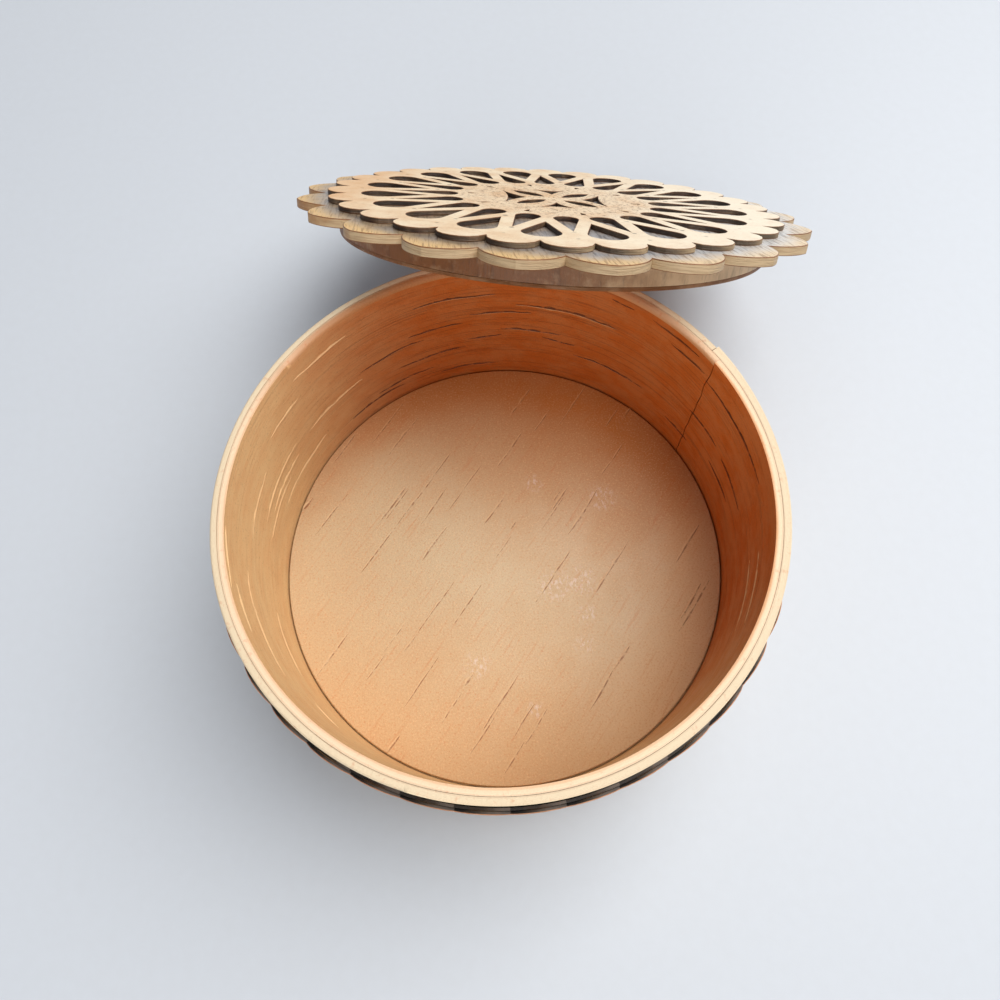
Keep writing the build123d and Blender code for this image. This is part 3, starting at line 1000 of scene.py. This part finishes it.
class BARKBOX_OT_floor(bpy.types.Operator):
    """Lays the bark disc on the floor with its pores, and finishes the board below"""

    bl_idname = "bark_box.floor"
    bl_label = "Floor"

    def execute(self, context):
        s = sizes()
        top = FLOOR_HEIGHT
        sheet = disc(FLOOR_RADIUS - s.floor_edge, top - FLOOR_BARK, top, FLOOR_ROUND)
        finish_piece(
            "floor_disc", sheet, "box", "floor_bark", [floor_bark()], ["floor_lining"]
        )
        along, across = at(1, FLOOR_GRAIN), at(1, FLOOR_GRAIN + math.pi / 2)
        thin, wider = FLOOR_PORE_WIDTH
        marks = bmesh.new()
        for x, y, reach, weight in FLOOR_PORES:
            root = Vector((x, y)) * MM

            def place(way, side, above, root=root, reach=reach * MM):
                spot = root + along * (way * reach) + across * side
                return (*spot, top + FLOOR_PORE_LIFT + above)

            width = (thin + wider * weight) * MM
            add_pore(marks, place, reach * MM, width, FLOOR_PORE_WANDER, FLOOR_PORE_HEIGHT)
        face_towards(marks, straight_up)
        finish_piece(
            "floor_pores", marks, "box", "floor_bark",
            [
                floor_bark("floor_pore_dark", "floor_pore", 0.85),
                floor_bark("floor_pore_ridge", "pore_ridge", 0.35),
            ],
            recalculate=False,
        )
        paint_node("floor_board", board_wood())
        paint_node("base_facing", wrap_bark())
        return {"FINISHED"}


# Pores of the inner wall: the angles where each starts and ends, height in mm and weight
WALL_PORES = (
    (0, 28, 40.3, 1.0), (29, 40, 41.4, 0.9), (32, 46, 44.3, 0.7), (51, 57, 44.5, 0.8),
    (54, 81, 35.6, 1.6), (86, 107, 39.1, 1.1), (77, 93, 32.8, 1.1), (95, 110, 30.1, 0.9),
    (69, 85, 26.6, 1.1), (65, 74, 24.0, 0.9), (85, 94, 24.0, 0.9), (44, 65, 20.0, 1.1),
    (26, 35, 16.8, 0.9), (17, 29, 27.4, 1.0), (0, 14, 26.6, 0.9), (5, 17, 20.6, 0.9),
    (125, 142, 41.6, 0.9), (143, 155, 36.7, 0.9), (162, 179, 32.6, 1.0), (106, 125, 27.2, 1.0),
    (125, 145, 24.4, 1.0), (150, 172, 26.0, 1.0), (151, 168, 23.0, 0.9), (157, 174, 21.0, 0.9),
    (141, 163, 17.3, 1.0), (95, 115, 20.7, 0.9), (105, 122, 15.3, 0.9), (114, 132, 13.4, 0.9),
    (87, 103, 12.8, 0.9), (181, 195, 46.0, 0.6), (193, 204, 42.8, 0.8), (187, 213, 35.5, 0.9),
    (219, 227, 26.6, 0.8), (193, 210, 20.0, 0.8), (329, 346, 37.0, 0.8), (329, 346, 31.0, 0.7),
)


# How deep the wall's pores start in it, how high they stand, how far they wander, their width for
# each 1 of weight, and the angle below which their dark side is the upper one, so that the painted
# shadow lies where the light leaves shade
WALL_PORE_DEPTH = 0.01 * MM
WALL_PORE_HEIGHT = 0.7 * MM
WALL_PORE_WANDER = 0.20 * MM
WALL_PORE_WIDTH = 0.80
WALL_PORE_FLIP = 120


class BARKBOX_OT_wall_pores(bpy.types.Operator):
    """Raises the long pores of the inner wall"""

    bl_idname = "bark_box.wall_pores"
    bl_label = "Wall pores"

    def execute(self, context):
        bore = LINING_RADIUS - sizes().lining_thickness
        marks = bmesh.new()
        for first, last, height, weight in WALL_PORES:
            start, sweep = math.radians(first), math.radians(last - first)

            def place(way, side, above, start=start, sweep=sweep, height=height * MM):
                spot = at(bore - WALL_PORE_DEPTH - above, start + way * sweep)
                return (*spot, height + side)

            flip = -1 if first < WALL_PORE_FLIP else 1
            width = WALL_PORE_WIDTH * weight * flip * MM
            add_pore(marks, place, sweep * bore, width, WALL_PORE_WANDER, WALL_PORE_HEIGHT)
        face_towards(marks, lambda point: Vector((-point.x, -point.y, 0)))
        finish_piece(
            "wall_pores", marks, "box", "lining_bark",
            [
                lining_bark("wall_pore_dark", "pore", 0.90),
                lining_bark("wall_pore_ridge", "pore_ridge", 0.62),
            ],
            recalculate=False,
        )
        return {"FINISHED"}


# Cuts along one lobe of the band, the fold in radians past which an edge is rounded, and the
# rounding of the dark strip behind
BAND_CUTS = 8
BAND_FOLD = 0.6
BACKING_ROUND = 0.1 * MM


class BARKBOX_OT_band(bpy.types.Operator):
    """Cuts one lobe's length of the carved band, repeats it and lays the dark strip behind"""

    bl_idname = "bark_box.band"
    bl_label = "Band"

    def execute(self, context):
        g = band()
        inner = BAND_RADIUS - g.thickness
        step = math.tau / g.lobes
        width = inner * step
        outlines = self.outlines(g, width)
        shape = sheet_with_openings("band_sheet", outlines, 0, g.thickness, 0, resolution=6)
        ends = [
            face for face in shape.faces
            if all(v.co.x < SAME for v in face.verts)
            or all(v.co.x > width - SAME for v in face.verts)
        ]
        bmesh.ops.delete(shape, geom=ends, context="FACES")
        cuts = [width * k / BAND_CUTS for k in range(1, BAND_CUTS)]
        slice_across(shape, Vector((1, 0, 0)), cuts)
        for vertex in shape.verts:
            along, height, out = vertex.co
            vertex.co = (*at(inner + out, g.phase + along / inner), height)
        bmesh.ops.spin(
            shape, geom=shape.verts[:] + shape.edges[:] + shape.faces[:], cent=(0, 0, 0),
            axis=(0, 0, 1), angle=step * (g.lobes - 1), steps=g.lobes - 1, use_duplicate=True,
        )
        bmesh.ops.remove_doubles(shape, verts=shape.verts, dist=WELD)
        bmesh.ops.recalc_face_normals(shape, faces=shape.faces)
        rims = [edge for edge in shape.edges if edge.calc_face_angle(0) > BAND_FOLD]
        round_edges(shape, rims, g.edge_round, 2)
        mark_cut_edges(shape, lambda point: Vector((point.x, point.y, 0)).normalized())
        for face in shape.faces:
            hidden = face.calc_center_median().xy.length < inner + g.edge_round
            if face.material_index == 2 and hidden:
                face.material_index = 1
        finish_piece(
            "band_sheet", shape, "box", "carved_bark",
            [
                carved_face("band_face"),
                burnt_bark_and_painted_sheen("band_cut"),
                cut_edge("band_scorch", "fringe"),
            ],
            ["carved_band"],
        )
        self.backing(g, inner - g.glue_line)
        return {"FINISHED"}

    def outlines(self, g, width):
        """One lobe's length laid flat: half a wedge at each end and a whole one between."""
        point, wide = BAND_TOP - g.point_inset, BAND_BASE + g.border
        cusp = BAND_TOP - g.lobe_depth
        side = BAND_RADIUS * math.sin(math.pi / g.lobes) - g.rib / 2
        crest = 4 * math.atan(2 * g.lobe_depth / width)
        edge = [((0, BAND_BASE), 0), ((width, BAND_BASE), 0), ((width, wide), 0)]
        edge += [((width - side, wide), 0), ((width, point), 0), ((width, cusp), crest)]
        edge += [((0, cusp), 0), ((0, point), 0), ((side, wide), 0), ((0, wide), 0)]
        middle, top = width / 2, BAND_TOP - g.border
        wedge = [(middle, BAND_BASE + g.point_inset), (middle + side, top), (middle - side, top)]
        return [edge, [(corner, 0) for corner in wedge]]

    def backing(self, g, outer):
        low, high = (corner.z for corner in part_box("band_backing"))
        strip = bent_strip(
            outer - g.backing_thickness, outer, low, high, 0, math.tau, BACKING_STEPS,
            BACKING_ROUND, BACKING_ROUND,
        )
        finish_piece(
            "backing_strip", strip, "box", "dark_bark", [burnt_bark_and_painted_sheen("backing_bark")],
            ["band_backing"],
        )


PLATE_ROUND = 1.5  # Rounding of the plate's edge, beside the rosette's


class BARKBOX_OT_lid_plate(bpy.types.Operator):
    """Cuts the scalloped plate of the lid"""

    bl_idname = "bark_box.lid_plate"
    bl_label = "Lid plate"

    def execute(self, context):
        p, plane = lid(), lid_plane()
        edge = lobed_edge(
            p.plate_tip - p.plate_lobe_depth, p.plate_tip, p.plate_lobes, p.plate_phase,
            p.plate_lobe_curve,
        )
        shape = sheet_with_openings(
            "plate_sheet", [edge], -p.plate_thickness, 0, p.edge_round * PLATE_ROUND,
            resolution=12,
        )
        mark_cut_edges(shape)
        share = 1 - p.plate_trim / (2 * p.plate_tip)
        bmesh.ops.scale(shape, vec=(share, share, 1), verts=shape.verts)
        bmesh.ops.translate(shape, vec=(0, p.plate_shift, 0), verts=shape.verts)
        finish_piece(
            "plate_sheet", shape, "lid", "plate_bark",
            [
                plate_face(plane),
                cut_edge(
                    "plate_cut", "plate_edge", plane, other_name="plate_rust", reach=(26, 52)
                ),
                cut_edge("plate_scorch", "dark_bark", plane),
            ],
            ["lid_plate"],
            plane=plane, sharp=20,
        )
        return {"FINISHED"}


# The rosette stands clear of the plate by this much
ROSETTE_LIFT = 0.02 * MM
# The small teardrops round the flower, the angle of the first and their number
SMALL_DROP = {"apex": 16.9 * MM, "end": 19.1 * MM, "round_radius": 0.45 * MM}
SMALL_DROP_TURN, SMALL_DROPS = 40, 10
# The flower in the middle: the angle of its first leaf, a leaf, and its wide and narrow wedges
FLOWER_TURN = math.radians(53.5)
LEAF = {"root": 2.9 * MM, "tip": 12.2 * MM, "width": 3.2 * MM}
WIDE_WEDGE = {
    "root": 6.2 * MM, "reach": 12.8 * MM, "half_angle": math.radians(32),
    "dip": 10.2 * MM, "bow": 0.4 * MM,
}
NARROW_WEDGE = {
    "root": 5.6 * MM, "reach": 12.0 * MM, "half_angle": math.radians(17),
    "dip": 10.4 * MM, "bow": 0.4 * MM,
}


class BARKBOX_OT_rosette(bpy.types.Operator):
    """Cuts the openwork rosette of the lid"""

    bl_idname = "bark_box.rosette"
    bl_label = "Rosette"

    def execute(self, context):
        p, plane = lid(), lid_plane()
        cusp = p.rosette_tip - p.rosette_lobe_depth
        outlines = [lobed_edge(cusp, p.rosette_tip, p.rosette_lobes, p.rosette_phase)]
        outlines += self.openings(p, cusp - p.rosette_border)
        outlines += self.flower()
        shape = sheet_with_openings(
            "rosette_sheet", outlines, ROSETTE_LIFT, p.rosette_thickness, p.edge_round
        )
        mark_cut_edges(shape)
        finish_piece(
            "rosette_sheet", shape, "lid", "carved_bark",
            [
                carved_face("rosette_face", plane),
                # Painted light: the rosette's outer cut sides are burnt dark, but on the lid's
                # right they turn to the plate edge's tan where light falls on them; the darker
                # start of each lobe is painted shade
                cut_edge(
                    "rosette_cut", "burnt", plane, other_name="plate_edge", reach=(18, -34),
                    inner=43, lobes=(p.rosette_lobes, p.rosette_phase),
                ),
                cut_edge("rosette_scorch", "dark_bark", plane),
            ],
            ["lid_rosette"],
            plane=plane, sharp=20,
        )
        return {"FINISHED"}

    def openings(self, p, outer_end):
        """The outer and inner rings of teardrops and the small ones round the flower."""
        half = math.sin(math.pi / p.spokes)
        outer_round = (outer_end * half - p.outer_web / 2) / (1 + half)
        inner_round = (p.inner_end * half - p.inner_web / 2) / (1 - half)
        outer = teardrop(outer_end - p.outer_length, outer_end, outer_round)
        inner = teardrop(p.inner_end + p.inner_length, p.inner_end, inner_round)
        small, apart = teardrop(**SMALL_DROP), 360 / SMALL_DROPS
        step = math.tau / p.spokes
        found = [turned(outer, step * k) for k in range(p.spokes)]
        found += [turned(inner, step * (k + 0.5)) for k in range(p.spokes)]
        ways = [math.radians(SMALL_DROP_TURN + apart * k) for k in range(SMALL_DROPS)]
        return found + [turned(small, way) for way in ways]

    def flower(self):
        """Four leaves with two wide and two narrow wedges between them."""
        leaf, wide = almond(**LEAF), petal_wedge(**WIDE_WEDGE)
        narrow = petal_wedge(**NARROW_WEDGE)
        found = [turned(leaf, FLOWER_TURN + math.pi / 2 * k) for k in range(4)]
        found += [turned(wide, FLOWER_TURN + math.pi * (k - 0.25)) for k in range(2)]
        found += [turned(narrow, FLOWER_TURN + math.pi * (k + 0.25)) for k in range(2)]
        return found


# Rounding of the edge of the bark under the plug, and how level the faces are that count as flat
PLUG_ROUND = 0.2 * MM
PLUG_FLAT = 0.9


class BARKBOX_OT_plug(bpy.types.Operator):
    """Bends the hoop of the lid's plug and finishes the disc under it"""

    bl_idname = "bark_box.plug"
    bl_label = "Plug"

    def execute(self, context):
        p, plane = lid(), lid_plane()
        low = -p.plate_thickness - p.plug_height
        hoop = bent_strip(
            p.plug_radius - p.hoop_thickness, p.plug_radius, low, -p.plate_thickness, 0,
            math.tau, DISC_STEPS,
        )
        finish_piece(
            "plug_strip", hoop, "lid", "dark_bark", [hoop_bark(plane)], ["plug_hoop"],
            plane=plane,
        )
        sheet = disc(p.plug_radius, low - p.plug_bark, low, PLUG_ROUND)
        for face in sheet.faces:
            face.material_index = 0 if face.normal.z < -PLUG_FLAT else 1
        finish_piece(
            "plug_disc", sheet, "lid", "floor_bark",
            [floor_bark("plug_bark"), cut_edge("plug_cut", "dark_bark", plane)],
            ["plug_lining"],
            plane=plane,
        )
        paint_node("plug_core", board_wood())
        return {"FINISHED"}


TABLE_REACH = 1.5  # Metres from the middle of the stage's floor to its edge
# The lamps: name, place in metres, side in metres, power in watts and tint, and where they aim
LAMPS = (
    ("window", (0.50, 0.20, 0.96), 1.05, 16.5, (1.0, 0.98, 0.95)),
    ("room", (-0.30, -1.04, 0.50), 0.9, 7.4, (1.0, 0.97, 0.93)),
)
LAMP_AIM = Vector((0, 0.02, 0.02))
# The light from all sides
ROOM_TINT, ROOM_STRENGTH = (0.80, 0.88, 1.0, 1), 0.26
# The camera, fitted to the rim, the floor and the lid: width of the film and focal length, where
# it stands from the middle of the rim in mm, and how far it leans down, turns and rolls in degrees
FILM, LENS = 36, 27.04
EYE = (0, -48.35, 121.75)
LEAN, TURN, ROLL = 68.78, -0.45, -4.70


class BARKBOX_OT_stage(bpy.types.Operator):
    """Sets the plain floor, the soft lights and the camera"""

    bl_idname = "bark_box.stage"
    bl_label = "Stage"

    def execute(self, context):
        self.table()
        for lamp in LAMPS:
            self.light(*lamp)
        world = bpy.data.worlds.new("room_light")
        world.use_nodes = True
        inputs = world.node_tree.nodes["Background"].inputs
        inputs["Color"].default_value = ROOM_TINT
        inputs["Strength"].default_value = ROOM_STRENGTH
        context.scene.world = world
        context.scene.view_settings.view_transform = "Standard"
        self.camera(context)
        return {"FINISHED"}

    def table(self):
        shape = bmesh.new()
        bmesh.ops.create_grid(shape, x_segments=1, y_segments=1, size=TABLE_REACH)
        mesh = bpy.data.meshes.new("table")
        shape.to_mesh(mesh)
        shape.free()
        paint, c, spot = start_paint("table_paint")
        grain = paint.noise(spot, 0.4, 3)
        paint.tint = paint.mix(grain * 0.06, c.table, c.plate_soot)
        mesh.materials.append(paint.finish(0.55, grain, 0.02))
        table = linked("table", mesh)

    def light(self, name, place, size, power, tint):
        """Square lamp aimed at the box."""
        lamp = bpy.data.lights.new(name, "AREA")
        lamp.size = size
        lamp.energy = power
        lamp.color = tint
        aim = (LAMP_AIM - Vector(place)).to_track_quat("-Z", "Y").to_matrix().to_4x4()
        linked(name, lamp).matrix_world = Matrix.Translation(place) @ aim

    def camera(self, context):
        """Looks down into the box from in front, a little turned and rolled."""
        lens = bpy.data.cameras.new("camera")
        lens.sensor_width = FILM
        lens.lens = LENS
        lens.clip_start = 0.01
        x, y, z = EYE
        eye = Vector((x * MM, y * MM, BOX_HEIGHT + z * MM))
        turn = (
            Matrix.Rotation(math.radians(TURN), 4, "Z")
            @ Matrix.Rotation(math.radians(90 - LEAN), 4, "X")
            @ Matrix.Rotation(math.radians(ROLL), 4, "Z")
        )
        context.scene.camera = linked("camera", lens)
        context.scene.camera.matrix_world = Matrix.Translation(eye) @ turn


class BARKBOX_PT_pieces(bpy.types.Panel):
    """Lists the pieces of the box and their sizes"""

    bl_idname = "BARKBOX_PT_pieces"
    bl_label = "Bark box"
    bl_space_type = "VIEW_3D"
    bl_region_type = "UI"
    bl_category = "Bark box"

    def draw(self, context):
        column = self.layout.column()
        for operator in OPERATORS:
            column.operator(operator.bl_idname)
        for group in (sizes(), band(), lid(), paints()):
            for name in group.__annotations__:
                column.prop(group, name)


GROUPS = {
    "bark_box_sizes": BarkBoxSizes,
    "bark_band_sizes": BarkBandSizes,
    "bark_lid_sizes": BarkLidSizes,
    "bark_colours": BarkColours,
}
OPERATORS = (
    BARKBOX_OT_wall,
    BARKBOX_OT_floor,
    BARKBOX_OT_wall_pores,
    BARKBOX_OT_band,
    BARKBOX_OT_lid_plate,
    BARKBOX_OT_rosette,
    BARKBOX_OT_plug,
    BARKBOX_OT_stage,
)


def register():
    for name, group in GROUPS.items():
        bpy.utils.register_class(group)
        setattr(bpy.types.Scene, name, bpy.props.PointerProperty(type=group))
    for made in (*OPERATORS, BARKBOX_PT_pieces):
        bpy.utils.register_class(made)


def unregister():
    for made in reversed((*OPERATORS, BARKBOX_PT_pieces)):
        bpy.utils.unregister_class(made)
    for name, group in GROUPS.items():
        delattr(bpy.types.Scene, name)
        bpy.utils.unregister_class(group)


def main():
    random.seed(7)
    register()
    for operator in OPERATORS:
        group, name = operator.bl_idname.split(".")
        getattr(getattr(bpy.ops, group), name)()


if __name__ == "__main__":
    main()
